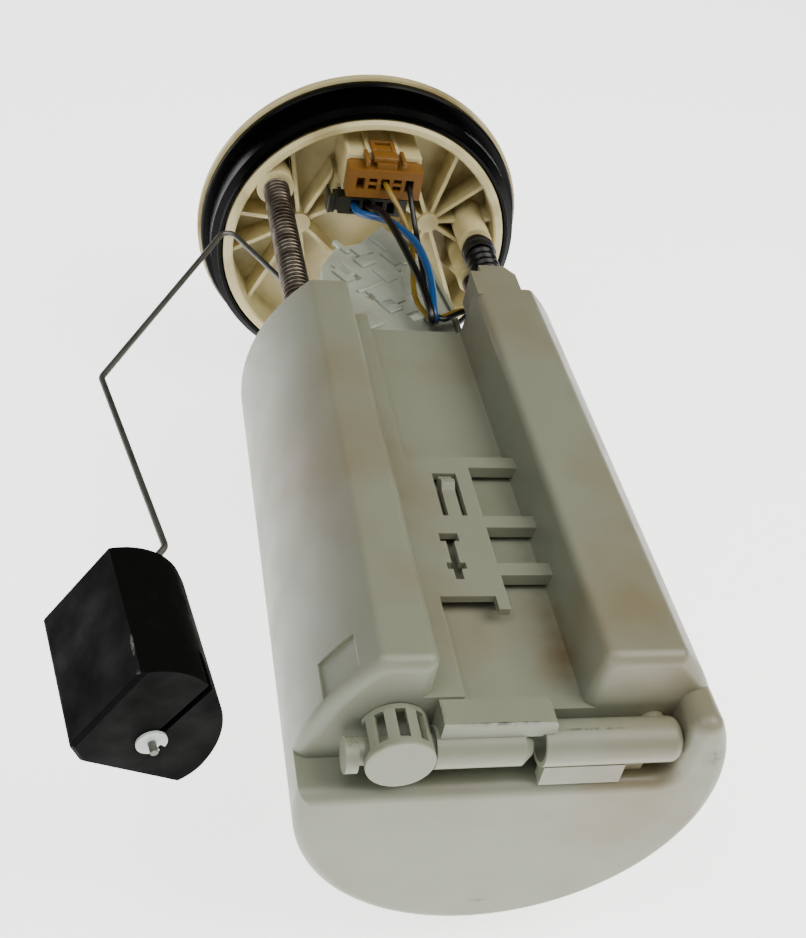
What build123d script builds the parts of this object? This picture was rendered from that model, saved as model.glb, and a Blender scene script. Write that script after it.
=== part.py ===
from build123d import *
import math
import os

# ------------------------------------------------------------------
# Driving dimensions, in millimetres.
# The origin is on the module's axis, in the plane where the rubber seal's outer lip sits on the tank.
# +Z points out of the tank, the float swings out towards -X, and the level channel faces -Y.
# ------------------------------------------------------------------

# Tank flange
spigot_r = 60.0            # outside of the ring that enters the tank neck
ring_wall = 4.0
ring_depth = 15.0          # how far the ring reaches below the seat plane
rim_reach = 9.5            # the rim's width outside the ring
rim_thickness = 3.2
plate_thickness = 3.0
rib_wall = 1.6
rib_depth = 11.3           # from the plate's underside
hub_r = 4.5
rib_hub_left = (-28.3, -6.9)
rib_hub_right = (27.0, -10.5)

# Seal
lip_reach = 8.2            # the lip's width outside the ring
lip_thickness = 4.3
seal_neck_wall = 5.0       # the wall that the tank neck grips
seal_neck_length = 11.0
seal_toe_wall = 2.5
seal_gap = 0.1             # between the seal and the ring

# Guide rods and springs
rod_r = 3.9
rod_press = 0.02
rod_left = (-41.5, -27.0)
rod_right = (46.0, 4.0)
rod_length = 154.0
rod_top = -2.0
boss_left_drop = 15.0      # boss ends below the seat plane
boss_right_drop = 28.0
boss_left_r = 7.5
boss_right_r = 6.4
spring_r = 5.5
spring_wire = 1.3
spring_pitch = 3.75
spring_sides = 9           # straight wire steps in each coil
sleeve_r = 6.5
sleeve_run = 0.1           # radial running clearance on a rod
sleeve_top = -118.0
sleeve_length = 32.0
stop_gap = 0.3
clip_r = 7.5
clip_thickness = 1.2

# Hose
hose_at = (45.5, -10.0)
hose_r = 6.25
hose_groove = 0.9
hose_bore_r = 4.1
hose_pitch = 5.0
hose_boss_r = 7.0
hose_boss_drop = 21.0
nipple_r = 4.0
flow_r = 2.6
outlet_r = 3.95            # the pipe on top of the flange
outlet_height = 26.0
outlet_bead_r = 5.1
outlet_plain = 11.0        # plain pipe above the bead

# Electrical sockets and plugs
pump_socket = (-15.5, 15.5, -47.0, -31.0)
pump_socket_drop = 19.0
sender_socket = (-16.5, 12.5, -31.0, -19.6)
sender_socket_drop = 14.0
socket_wall = 1.6
plug_clearance = 0.2
pump_plug_reach = 8.5      # below the socket's mouth
sender_plug_reach = 8.0
plug_overlap = 13.0        # length of a plug inside its socket
blade_pitch = 5.0
blade_wide = 2.0
blade_thick = 0.8
tank_plug_height = 17.0
tank_plug_wall = 2.0

# Reservoir pot
pot_r = 60.5               # at the top
pot_draft = 2.0            # how much wider the pot is at its base
pot_wall = 2.2
pot_top = -105.5
pot_bottom = -293.5
recess_ceiling = -280.3    # the base is cut away in front, up to here
recess_back = -6.0         # y of the recess's rear face
front_flat = -45.0         # y of both lobes' flat fronts
strip_flat = -31.0         # y of the strip beside the channel
channel_floor = -24.5      # y of the channel's floor
ridge_left = -27.0
strip_right = -18.3
channel_right = 18.0
channel_right_front = 20.0
lobe_round = 3.0
base_round = 4.0
lobe_base_round = 4.0
cheek_wide = 14.5          # the right wall runs down to the base over this width
cheek_round = 5.0

pocket_angle = -147.8       # the window in the left lobe's side
pocket_wide = 15.0
pocket_top = -264.5
pocket_bottom = -277.0
pocket_depth = 1.2

# Snap plate across the channel
snap_right = 2.2
snap_top = -182.5
snap_bottom = -243.6
snap_thick = 2.6
bar_tops = (-182.5, -210.0, -230.3)
bar_height = 5.0
bar_depth = 4.2
plate_leg = 5.2

# Head over the pump
head_front = -17.0
head_back = 12.0
head_wall = 1.8
head_left = 15.0           # half-width of the head's neck on the sender's side
side_plate_thick = 1.6

# Filter and pump
unit_at = (0.0, 14.0)
filter_r = 33.0
filter_core_r = 22.5
filter_wall = 1.8
filter_bottom = -262.0
filter_top = -118.0
lid_thickness = 6.0
leg_r = 3.0
pump_r = 19.0
pump_wall = 1.2
pump_bottom = -258.0
pump_length = 92.0
cap_length = 9.0
armature_r = 12.5
armature_length = 46.0
shaft_r = 1.6
shaft_run = 0.05
impeller_r = 15.0
impeller_thick = 3.6
impeller_vanes = 16
magnet_thick = 4.0
air_gap = 0.5

port_r = 8.0
regulator_r = 7.5
regulator_at = (-6.0, 33.0)
regulator_height = 18.0

# Jet pump under the pot
jet_y = -18.0
jet_z = -287.0
jet_barrel_r = 6.0
jet_cap_at = (-36.5, -19.5)
jet_cap_r = 9.75
jet_cap_slots = 10
mixing_r = 6.5
mixing_bore_r = 4.2
mixing_left = 4.5
mixing_end_gap = 0.4       # between the tube's end and the recess's right end

# Level sender
pivot = (-29.0, -97.6)     # x and z of the pivot, whose axis runs along Y
arm_y = -19.5
arm_wire_r = 1.1
arm_bends = ((-62.0, -34.5), (-112.0, -132.0), (-94.5, -212.0), (-109.4, -235.0))
arm_end = (-101.5, -283.0)
arm_bend_r = 3.5
arm_sides = 12             # the wire's round section is drawn with this many flats
arm_tail = 4.0             # wire that stands out below the float
rotor_r = 8.0
rotor_thick = 4.6
journal_r = 2.5
journal_run = 0.05
frame_thick = 3.0
card_thick = 0.8
float_length = 44.0
float_corner_round = 2.0
float_edge = 1.2           # chamfer along the lower front edge
float_bore_run = 0.05
slit_wide = 2.0            # the slit that lets the rod into the float
slit_reach = 30.0
slit_depth = 12.0
washer_r = 4.2

# Leads
lead_r = 1.0
thick_lead_r = 1.3

# Places worked out from the sizes above
cheek_left = pot_r - cheek_wide
mixing_right = cheek_left - mixing_end_gap
rim_r = spigot_r + rim_reach
lip_r = spigot_r + lip_reach
seal_neck_r = spigot_r + seal_neck_wall
seal_toe_r = spigot_r + seal_toe_wall
under_plate = lip_thickness + rim_thickness - plate_thickness
flange_top = lip_thickness + rim_thickness
boss_left_end = -boss_left_drop
boss_right_end = -boss_right_drop
hose_top = -hose_boss_drop
lid_top = filter_top + lid_thickness
pot_floor = pot_bottom + pot_wall
front_floor = recess_ceiling + pot_wall
sleeve_bottom = sleeve_top - sleeve_length
rod_bottom = rod_top - rod_length
pump_top = pump_bottom + pump_length
pump_plug_low = -pump_socket_drop - pump_plug_reach
sender_plug_low = -sender_socket_drop - sender_plug_reach
pump_row_y = (pump_socket[2] + pump_socket[3]) / 2
sender_row_y = (sender_socket[2] + sender_socket[3]) / 2

os.makedirs("parts", exist_ok=True)


def block(x0, x1, y0, y1, z0, z1):
    """A box between two corners."""
    centre = ((x0 + x1) / 2, (y0 + y1) / 2, (z0 + z1) / 2)
    return Pos(*centre) * Box(abs(x1 - x0), abs(y1 - y0), abs(z1 - z0))


def post(radius, z0, z1, at=(0.0, 0.0)):
    """An upright cylinder."""
    return Pos(at[0], at[1], (z0 + z1) / 2) * Cylinder(radius, abs(z1 - z0))


def ring(outer, inner, z0, z1, at=(0.0, 0.0)):
    """An upright tube."""
    return post(outer, z0, z1, at) - post(inner, z0 - 1, z1 + 1, at)


def bar_x(radius, x0, x1, y, z):
    """A cylinder along X."""
    return Pos((x0 + x1) / 2, y, z) * Rot(0, 90, 0) * Cylinder(radius, abs(x1 - x0))


def bar_y(radius, y0, y1, x, z):
    """A cylinder along Y."""
    return Pos(x, (y0 + y1) / 2, z) * Rot(90, 0, 0) * Cylinder(radius, abs(y1 - y0))


def turned(points, at=(0.0, 0.0)):
    """A solid turned about an upright axis, from radius and height pairs."""
    outline = make_face(Polyline(*[(r, 0, z) for r, z in points], close=True))
    return Pos(at[0], at[1], 0) * revolve(outline, Axis.Z)


def upright_profile(points, y0, y1):
    """A flat outline in X and Z, given a thickness along Y."""
    outline = make_face(Polyline(*[(x, y0, z) for x, z in points], close=True))
    return extrude(outline, amount=y1 - y0, dir=(0, 1, 0))


def wire_tube(points, section, bends):
    """A wire of one section along straight runs joined by tangent arcs."""
    path = FilletPolyline(*points, radius=bends)
    return sweep(Plane(origin=path @ 0, z_dir=path % 0) * section, path=path)


def save(name, shape):
    """Write one piece, or a group of like pieces, to its own file."""
    shape.label = name
    export_step(shape, f"parts/{name}.step")


# ------------------------------------------------------------------
# Tank flange, seal and terminals
# ------------------------------------------------------------------

def radial_ribs(hub, first_angle, last_angle, count):
    """Upright ribs that fan out from a hub on the flange's underside."""
    ribs = post(hub_r, under_plate - rib_depth - 1, under_plate + 0.1, hub)
    step = (last_angle - first_angle) / (count - 1)
    for index in range(count):
        angle = first_angle + step * index
        web = Pos(spigot_r, 0, 0) * Box(2 * spigot_r, rib_wall, rib_depth)
        ribs += Pos(hub[0], hub[1], under_plate - rib_depth / 2) * Rot(0, 0, angle) * web
    return ribs


def half_cup(side):
    """The room under the flange on one side of the plug sockets."""
    inner = spigot_r - ring_wall + 0.5
    room = post(inner, under_plate - rib_depth - 2, under_plate + 0.2)
    clear = pump_socket[1] + 2.0
    return room & block(side * 1.0, side * rim_r, -rim_r, rim_r, -40, 40) - block(
        -clear, clear, pump_socket[2] - 12, sender_socket[3] + 2, -40, 40
    )


def socket(area, drop):
    """An open-bottomed rectangular shroud for a plug."""
    x0, x1, y0, y1 = area
    shell = block(x0, x1, y0, y1, -drop, under_plate + 0.1)
    room = block(
        x0 + socket_wall,
        x1 - socket_wall,
        y0 + socket_wall,
        y1 - socket_wall,
        -drop - 1,
        under_plate,
    )
    return shell, room


def blade_places():
    """Centre of each terminal blade."""
    pump_y = (pump_socket[2] + pump_socket[3]) / 2
    sender_y = (sender_socket[2] + sender_socket[3]) / 2
    sender_x = (sender_socket[0] + sender_socket[1]) / 2
    pump_row = [(blade_pitch * (i - 2), pump_y) for i in range(5)]
    sender_row = [(sender_x + blade_pitch * (i - 1.5), sender_y) for i in range(4)]
    return pump_row + sender_row


def blades(extra=0.0):
    """The terminal blades that cross the flange."""
    low = -pump_socket_drop + 3
    high = flange_top + tank_plug_height - 5
    return [
        block(
            x - blade_wide / 2 - extra,
            x + blade_wide / 2 + extra,
            y - blade_thick / 2 - extra,
            y + blade_thick / 2 + extra,
            low,
            high,
        )
        for x, y in blade_places()
    ]


def tank_flange():
    inner = spigot_r - ring_wall
    body = turned(
        [
            (0, flange_top),
            (0, under_plate),
            (inner, under_plate),
            (inner, -ring_depth + 0.8),
            (inner + 0.8, -ring_depth),
            (spigot_r - 1.2, -ring_depth),
            (spigot_r, -ring_depth + 1.2),
            (spigot_r, lip_thickness),
            (rim_r, lip_thickness),
            (rim_r, flange_top - 0.8),
            (rim_r - 0.8, flange_top),
        ]
    )
    body += half_cup(-1) & radial_ribs(rib_hub_left, 42, 330, 9)
    body += half_cup(1) & radial_ribs(rib_hub_right, -150, 138, 9)
    body += post(boss_left_r, boss_left_end, under_plate + 0.1, rod_left)
    body += post(boss_right_r, boss_right_end, under_plate + 0.1, rod_right)
    body += post(hose_boss_r, hose_top, under_plate + 0.1, hose_at)
    body += gussets(rod_right, boss_right_r, boss_right_end + 6)
    pump_shell, pump_room = socket(pump_socket, pump_socket_drop)
    sender_shell, sender_room = socket(sender_socket, sender_socket_drop)
    body += pump_shell + sender_shell
    body -= pump_room + sender_room
    body += tank_plug_shroud()
    body += outlet_pipe()
    body += post(nipple_r, hose_top - 12, hose_top + 0.1, hose_at)
    body -= post(flow_r, hose_top - 13, flange_top + outlet_height + 1, hose_at)
    for place, low in ((rod_left, boss_left_end), (rod_right, boss_right_end)):
        body -= post(rod_r + rod_press, low - 1, rod_top, place)
    for slot in blades(0.05):
        body -= slot
    return body


def gussets(at, radius, low):
    """Triangular webs that brace a long boss against the plate."""
    webs = None
    for angle in (40, 110, 300):
        outline = make_face(
            Polyline(
                (radius - 1, 0, low),
                (radius - 1, 0, under_plate),
                (radius + 7, 0, under_plate),
                close=True,
            )
        )
        web = extrude(outline, amount=rib_wall / 2, both=True)
        placed = Pos(at[0], at[1], 0) * Rot(0, 0, angle) * web
        webs = placed if webs is None else webs + placed
    inside = post(spigot_r - ring_wall + 0.5, low - 1, under_plate + 1)
    return (webs & inside) - post(hose_boss_r + 0.1, low - 1, under_plate - 0.1, hose_at)


def tank_plug_shroud():
    """The upper shroud that takes the vehicle's plug."""
    x0, x1 = sender_socket[0] - 2, pump_socket[1] + 2
    y0, y1 = pump_socket[2] - 1, sender_socket[3] + 1
    outer = block(x0, x1, y0, y1, flange_top - 0.1, flange_top + tank_plug_height)
    outer = fillet(outer.edges().filter_by(Axis.Z), 3.0)
    room = block(
        x0 + tank_plug_wall,
        x1 - tank_plug_wall,
        y0 + tank_plug_wall,
        y1 - tank_plug_wall,
        flange_top,
        flange_top + tank_plug_height + 1,
    )
    return outer - room


def outlet_pipe():
    """The pipe on top of the flange, with the bead that a quick connector grips."""
    top = flange_top + outlet_height
    bead = top - outlet_plain
    points = [
        (0, flange_top - 0.1),
        (outlet_bead_r + 1.5, flange_top - 0.1),
        (outlet_r, flange_top + 5),
        (outlet_r, bead - 2.4),
        (outlet_bead_r, bead - 1.2),
        (outlet_bead_r, bead - 0.6),
        (outlet_r, bead),
        (outlet_r, top - 0.8),
        (outlet_r - 0.6, top),
        (0, top),
    ]
    return turned(points, hose_at)


def flange_seal():
    inner = spigot_r + seal_gap
    return turned(
        [
            (inner, lip_thickness),
            (inner, -ring_depth + 2.6),
            (inner + 0.8, -ring_depth + 1.2),
            (seal_toe_r - 0.4, -ring_depth + 1.2),
            (seal_toe_r, -ring_depth + 2.4),
            (seal_neck_r, -seal_neck_length),
            (seal_neck_r, 0),
            (lip_r - 0.6, 0),
            (lip_r, 0.8),
            (lip_r, lip_thickness - 0.8),
            (lip_r - 0.6, lip_thickness),
        ]
    )


def plug(area, drop, reach, latch):
    """A plug in its socket, with cavities for its leads and a latch tab."""
    x0, x1, y0, y1 = area
    edge = socket_wall + plug_clearance
    low = -drop - reach
    body = block(x0 + edge, x1 - edge, y0 + edge, y1 - edge, low, -drop + plug_overlap)
    body += block(x0 + 0.4, x1 - 0.4, y0 + edge, y1 - edge, low, -drop - 0.4)
    middle = (x0 + x1) / 2
    y_mid = (y0 + y1) / 2
    if latch == "front":
        body += block(middle - 4, middle + 4, y0 - 0.6, y0 + 1.9, low + 1, -drop - 0.5)
    else:
        body += block(x0 - 1.6, x0 + 0.6, y_mid - 3, y_mid + 3, low + 1, -drop - 0.5)
    for slot in blades(0.15):
        body -= slot
    for x, y in blade_places():
        if y0 < y < y1:
            body -= block(x - 1.7, x + 1.7, y_mid - 2.6, y_mid + 2.6, low - 1, low + 5)
    return body


# ------------------------------------------------------------------
# Guide rods, springs and hose
# ------------------------------------------------------------------

def guide_rod(at):
    return post(rod_r, rod_bottom, rod_top, at)


def rod_clip(at):
    top = sleeve_bottom - stop_gap
    return ring(clip_r, rod_r + rod_press, top - clip_thickness, top, at)


def spring(at, top):
    """A wire coil in short straight steps, with a square wire section."""
    coil_r = spring_r - spring_wire / 2
    low = sleeve_top + spring_wire / 2
    height = top - spring_wire / 2 - low
    steps = int(height / spring_pitch * spring_sides)
    points = []
    for index in range(steps + 1):
        angle = 2 * math.pi * index / spring_sides
        x = at[0] + coil_r * math.cos(angle)
        y = at[1] + coil_r * math.sin(angle)
        points.append((x, y, low + height * index / steps))
    path = Polyline(*points)
    section = Plane(origin=path @ 0, z_dir=path % 0) * RegularPolygon(spring_wire / 2, 4)
    return sweep(section, path=path, transition=Transition.RIGHT)


def hose_bottom():
    return lid_top + 2.0


def fuel_hose():
    """A corrugated hose: plain cuffs at both ends and ribs between."""
    top = hose_top - 0.3
    low = hose_bottom()
    cuff = 12.0
    groove_r = hose_r - hose_groove
    outer = [(hose_bore_r, top), (hose_bore_r, low), (hose_r, low), (hose_r, low + cuff)]
    count = int((top - low - 2 * cuff) / hose_pitch)
    step = (top - low - 2 * cuff) / count
    for index in range(count):
        base = low + cuff + step * index
        outer.append((groove_r, base + 0.4 * step))
        outer.append((hose_r, base + step))
    outer.append((hose_r, top))
    return turned(outer, hose_at)


def hose_clip(z):
    """A thin crimp ring over a hose cuff."""
    return ring(hose_r + 0.9, hose_r + 0.05, z - 3, z + 3, hose_at)


# ------------------------------------------------------------------
# Reservoir pot
# ------------------------------------------------------------------

def pot_radius(z):
    """The drafted radius of the pot at a height."""
    return pot_r + pot_draft * (pot_top - z) / (pot_top - pot_bottom)


def pot_cone(low, high, inset=0.0):
    """The drafted round body between two heights."""
    return turned([(0, low), (pot_radius(low) - inset, low), (pot_radius(high) - inset, high), (0, high)])


def lobes_plan():
    """The flat lobes and the stepped channel, inside a square that the round body trims."""
    wide = 2 * pot_r
    return Polyline(
        (-wide, front_flat),
        (ridge_left, front_flat),
        (ridge_left, strip_flat),
        (strip_right, strip_flat),
        (strip_right, channel_floor),
        (channel_right, channel_floor),
        (channel_right_front, front_flat),
        (wide, front_flat),
        (wide, wide),
        (-wide, wide),
        close=True,
    )


def pot_shell():
    outer_plan = make_face(lobes_plan())
    inner_plan = offset(outer_plan, amount=-pot_wall, kind=Kind.INTERSECTION)
    height = pot_top - recess_ceiling
    upper = pot_cone(recess_ceiling, pot_top) & extrude(Pos(0, 0, recess_ceiling) * outer_plan, amount=height)
    land = math.sqrt(pot_r**2 - front_flat**2) - max(-ridge_left, channel_right_front)
    fronts = [
        e
        for e in upper.edges()
        if abs(e.center().Y - front_flat) < 0.6 and abs(e.center().Z - (recess_ceiling + pot_top) / 2) < 1
    ]
    upper = fillet(fronts, min(lobe_round, 0.45 * land))
    rims = [e for e in upper.edges() if abs(e.center().Z - recess_ceiling) < 0.01]
    fronts = [e for e in rims if e.bounding_box().min.Y < channel_floor - 8]
    upper = fillet(fronts, lobe_base_round)
    return upper + pot_foot() - pot_room(inner_plan)


def pot_foot():
    """The base below the recess, with the right wall carried down in front of it."""
    back = Pos(0, (recess_back + 2 * pot_r) / 2, 0) * Rectangle(4 * pot_r, 2 * pot_r - recess_back)
    cheek = Pos((cheek_left + 2 * pot_r) / 2, 0, 0) * Rectangle(2 * pot_r - cheek_left, 4 * pot_r)
    high = recess_ceiling + lobe_base_round + 1
    plan = extrude(Pos(0, 0, pot_bottom) * (back + cheek), amount=high - pot_bottom)
    foot = pot_cone(pot_bottom, high) & plan
    middle = (pot_bottom + high) / 2
    upright = [e for e in foot.edges() if abs(e.center().Z - middle) < 1]
    corners = [e for e in upright if abs(e.center().X - cheek_left) < 0.5]
    foot = fillet(corners, cheek_round)
    base = [e for e in foot.edges() if abs(e.center().Z - pot_bottom) < 0.01]
    return fillet(base, base_round)


def pot_room(inner_plan):
    """The hollow: above the recess it follows the lobes, and behind it goes down to the floor."""
    room = pot_cone(front_floor, pot_top + 1, pot_wall)
    room = room & extrude(Pos(0, 0, front_floor) * inner_plan, amount=pot_top - front_floor + 1)
    behind = recess_back + pot_wall
    back = Pos(0, (behind + 2 * pot_r) / 2, 0) * Rectangle(4 * pot_r, 2 * pot_r - behind)
    well = pot_cone(pot_floor, front_floor + 1, pot_wall)
    well = well & extrude(Pos(0, 0, pot_floor) * back, amount=front_floor - pot_floor + 1)
    floor_edges = [e for e in well.edges() if abs(e.center().Z - pot_floor) < 0.01]
    return room + fillet(floor_edges, base_round - 1.0)


def rod_sleeve(at):
    """A sleeve on the pot's wall, with a web behind it."""
    reach = math.hypot(at[0], at[1])
    angle = math.degrees(math.atan2(at[1], at[0]))
    wall_at = pot_r - pot_wall / 2
    web = block(reach, wall_at, -1.4, 1.4, sleeve_bottom, sleeve_top - 2)
    wide = block(wall_at - 2.6, wall_at, -5, 5, sleeve_bottom, sleeve_top - 2)
    body = Rot(0, 0, angle) * (web + wide) + post(sleeve_r, sleeve_bottom, sleeve_top, at)
    return body


def snap_plate():
    """The plate that bridges the channel, with bars, a tongue in a U slot and a dog-bone hole."""
    front = strip_flat
    back = front + snap_thick
    plate = block(strip_right - 0.5, snap_right, front, back, snap_bottom, snap_top)
    plate += block(snap_right - 3.5, snap_right, front, back, snap_bottom - plate_leg, snap_bottom + 0.1)
    for top in bar_tops:
        plate += block(snap_right - 0.1, channel_right + 1.2, front, front + bar_depth, top - bar_height, top)
    plate += block(snap_right - 2.4, snap_right, back - 0.1, channel_floor + 0.2, snap_bottom, snap_top)
    u_top = snap_top - 8
    u_bottom = u_top - 19.3
    tongue_left, tongue_right = -8.7, -4.4
    cut = block(tongue_left - 1.8, tongue_left, front - 1, back + 1, u_bottom, u_top)
    cut += block(tongue_right, tongue_right + 1.8, front - 1, back + 1, u_bottom, u_top)
    cut += block(tongue_left - 1.8, tongue_right + 1.8, front - 1, back + 1, u_top - 1.6, u_top)
    bone_x = -10.6
    bone_top = u_bottom - 7.8
    cut += block(bone_x - 3.0, bone_x + 3.0, front - 1, back + 1, bone_top - 3.4, bone_top)
    cut += block(bone_x - 1.3, bone_x + 1.3, front - 1, back + 1, bone_top - 19.2, bone_top)
    cut += block(bone_x - 3.0, bone_x + 3.0, front - 1, back + 1, bone_top - 15.0, bone_top - 12.4)
    plate -= cut
    proud = front - 1.8
    head = [(front, u_top - 2.2), (proud, u_top - 4.6), (proud, u_top - 6.0), (front, u_top - 8.0)]
    outline = make_face(Polyline(*[(tongue_left, y, z) for y, z in head], close=True))
    plate += extrude(outline, amount=tongue_right - tongue_left, dir=(1, 0, 0))
    return plate


def cap_block():
    """The raised block on the right lobe that the hose goes in behind."""
    depth = 15.0
    outline = [
        (channel_right_front, pot_top - 4),
        (channel_right_front, -95),
        (24.0, -95),
        (24.0, -91),
        (33.5, -91),
        (37.0, -96),
        (37.0, pot_top - 4),
    ]
    solid = upright_profile(outline, front_flat, front_flat + depth)
    room = [
        (channel_right_front + pot_wall, pot_top - 5),
        (channel_right_front + pot_wall, -97),
        (26.0, -93),
        (32.8, -93),
        (35.0, -97),
        (35.0, pot_top - 5),
    ]
    return solid - upright_profile(room, front_flat + pot_wall, front_flat + depth + 1)


def lobe_pocket():
    """The shallow window pressed into the left lobe's rounded side."""
    middle = (pocket_top + pocket_bottom) / 2
    deep = pot_radius(middle) - pocket_depth
    cutter = block(deep, deep + 6, -pocket_wide / 2, pocket_wide / 2, pocket_bottom, pocket_top)
    return Rot(0, 0, pocket_angle) * cutter


def reservoir_pot():
    body = pot_shell()
    body += snap_plate()
    body += cap_block()
    for at in (rod_left, rod_right):
        body += rod_sleeve(at)
        body -= post(rod_r + sleeve_run, sleeve_bottom - 1, sleeve_top + 1, at)
    body -= post(mixing_bore_r, recess_ceiling - 1, front_floor + 1, (mixing_right - 6, jet_y))
    body -= lobe_pocket()
    body += [ring(2.6, 1.2, recess_ceiling - 3, recess_ceiling + 0.1, (x, jet_y + 8)) for x in (-12.0, 36.0)]
    return body


# ------------------------------------------------------------------
# Head, filter and pump
# ------------------------------------------------------------------

def head_outline(inset=0.0):
    """The head's sloping outline, seen from the front."""
    return [
        (-head_left + inset, lid_top + (0 if inset == 0 else -1)),
        (-head_left + inset, -88.0),
        (-25.0 + inset, -82.0 + inset),
        (-27.0 + inset, -62.5),
        (-26.5 + inset, -55.5),
        (-19.7 + 0.6 * inset, -42.5 - inset),
        (-8.0, -36.5 - inset),
        (2.8, -22.7 - 1.6 * inset),
        (15.6 - inset, -44.0),
        (20.2 - inset, -82.0),
        (20.2 - inset, lid_top + (0 if inset == 0 else -1)),
    ]


def head_cover():
    """A moulded cover, open behind, with raised pads and windows in front."""
    body = upright_profile(head_outline(), head_front, head_back)
    body -= upright_profile(head_outline(head_wall), head_front + head_wall, head_back + 1)
    pads = [
        (-8.5, -43.0, 7.0, 6.0),
        (5.0, -46.0, 9.0, 9.0),
        (-17.0, -60.0, 8.0, 9.0),
        (-4.0, -74.0, 10.0, 12.0),
    ]
    for x, z, wide, high in pads:
        pad = Box(wide, 1.6, high)
        body += Pos(x, head_front - 0.2, z) * Rot(0, -32, 0) * pad
    windows = [
        (-11.4, -47.4, 2.6, 2.6),
        (9.4, -34.6, 3.0, 3.0),
        (5.7, -55.8, 2.6, 3.0),
        (-13.9, -61.5, 2.4, 4.0),
        (-10.0, -75.0, 3.0, 3.4),
        (8.5, -72.0, 5.0, 5.6),
        (6.4, -85.0, 6.0, 5.0),
        (-6.5, -102.0, 4.0, 3.0),
    ]
    for x, z, wide, high in windows:
        hole = Box(wide, 3 * head_wall, high)
        body -= Pos(x, head_front, z) * Rot(0, -32, 0) * hole
    return body


def head_side_plate():
    """The thin sloping plate at the head's right side."""
    outline = [
        (9.2, -31.0),
        (10.6, -31.0),
        (16.0 + side_plate_thick, -44.0),
        (20.5 + side_plate_thick, -82.0),
        (20.5 + side_plate_thick, lid_top),
        (20.5, lid_top),
        (20.5, -82.0),
        (15.9, -44.0),
    ]
    return upright_profile(outline, head_front - 1.5, head_back - 2)


def filter_case():
    """A ring-shaped can round the pump, on three legs."""
    x, y = unit_at
    core = filter_core_r
    points = [
        (core, filter_top),
        (core, filter_bottom),
        (filter_r - 2, filter_bottom),
        (filter_r, filter_bottom + 2),
        (filter_r, filter_top),
        (filter_r - filter_wall, filter_top),
        (filter_r - filter_wall, filter_bottom + filter_wall + 1),
        (core + filter_wall, filter_bottom + filter_wall + 1),
        (core + filter_wall, filter_top),
    ]
    body = turned(points, unit_at)
    for angle in (90, 195, 345):
        place = Pos(x, y, 0) * Rot(0, 0, angle) * Pos(core + 5, 0, (pot_floor + filter_bottom) / 2)
        body += place * Cylinder(leg_r, filter_bottom - pot_floor + 1)
    shelf = ring(core + 1, pump_r - 3, filter_bottom, filter_bottom + 2.5, unit_at)
    trim = post(60, pot_floor - 5, pot_floor, unit_at)
    return body + shelf - trim


def filter_element():
    """Pleated paper between two end discs."""
    inner = filter_core_r + filter_wall + 0.6
    outer = filter_r - filter_wall - 0.6
    low = filter_bottom + filter_wall + 1.3
    high = filter_top - 4
    pleats = 24
    points = []
    for index in range(pleats):
        angle = 2 * math.pi * index / pleats
        half = math.pi / pleats
        points.append(((outer) * math.cos(angle), (outer) * math.sin(angle)))
        points.append(((inner + 1.5) * math.cos(angle + half), (inner + 1.5) * math.sin(angle + half)))
    star = make_face(Polyline(*points, close=True)) - Circle(inner)
    body = extrude(Pos(unit_at[0], unit_at[1], low + 1) * star, amount=high - low - 2)
    body += ring(outer, inner, low, low + 1.2, unit_at)
    body += ring(outer, inner, high - 1.2, high, unit_at)
    return body


def filter_lid():
    """The lid over the can: pump port, hose nipple arm and regulator cup."""
    x, y = unit_at
    body = post(filter_r, filter_top, lid_top, unit_at)
    arm = block(18, hose_at[0] + 7.5, head_front + 0.2, hose_at[1] + 6.5, filter_top, lid_top)
    body += fillet(arm.edges().filter_by(Axis.Z), 3.0)
    body += post(nipple_r, lid_top - 0.1, hose_bottom() + 14, hose_at)
    body -= post(flow_r, filter_top + 2, hose_bottom() + 15, hose_at)
    body -= bar_x(flow_r - 0.4, x + 8, hose_at[0], hose_at[1], filter_top + 3)
    body += ring(regulator_r + 3, regulator_r + 0.1, lid_top - 0.1, lid_top + 8.4, regulator_at)
    body -= post(port_r, filter_top - 1, filter_top + 4, unit_at)
    body += block(26, 36, head_front + 2, head_front + 8, lid_top - 0.1, lid_top + 8)
    body += ring(filter_core_r + 1.5, filter_core_r - 1.2, filter_top - 3, filter_top + 0.1, unit_at)
    body -= ring(filter_core_r + 4, filter_core_r, filter_top - 4, filter_top, unit_at)
    return body


def regulator_body():
    """A pressed can with a spring chamber."""
    low = lid_top + 0.1
    top = low + regulator_height
    points = [
        (0, low),
        (regulator_r, low),
        (regulator_r, low + 8.6),
        (regulator_r + 1.6, low + 9.4),
        (regulator_r + 1.6, low + 10.4),
        (regulator_r - 1.2, low + 10.8),
        (regulator_r - 1.2, top - 1),
        (regulator_r - 2.2, top),
        (0, top),
    ]
    room = ring(regulator_r - 2.4, 0.001, low + 2, top - 1, regulator_at)
    return turned(points, regulator_at) - room - post(1.4, low - 1, low + 3, regulator_at)


def regulator_valve():
    low = lid_top + 2.2
    points = [(0, low), (2.4, low), (4.4, low + 1), (4.4, low + 2.4), (1.6, low + 4), (0, low + 4)]
    return turned(points, regulator_at)


def regulator_spring():
    """A short stack of closed coils above the valve."""
    low = lid_top + 6.4
    top = lid_top + regulator_height - 1.2
    points = [(2.2, low)]
    coils = 4
    step = (top - low) / coils
    for index in range(coils):
        base = low + index * step
        points.append((4.0, base + 0.2 * step))
        points.append((4.0, base + 0.5 * step))
        points.append((3.0, base + 0.75 * step))
    points.append((3.0, top))
    points.append((2.2, top))
    return turned(points, regulator_at)


def pump_case():
    return ring(pump_r, pump_r - pump_wall, pump_bottom, pump_top, unit_at)


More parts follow.
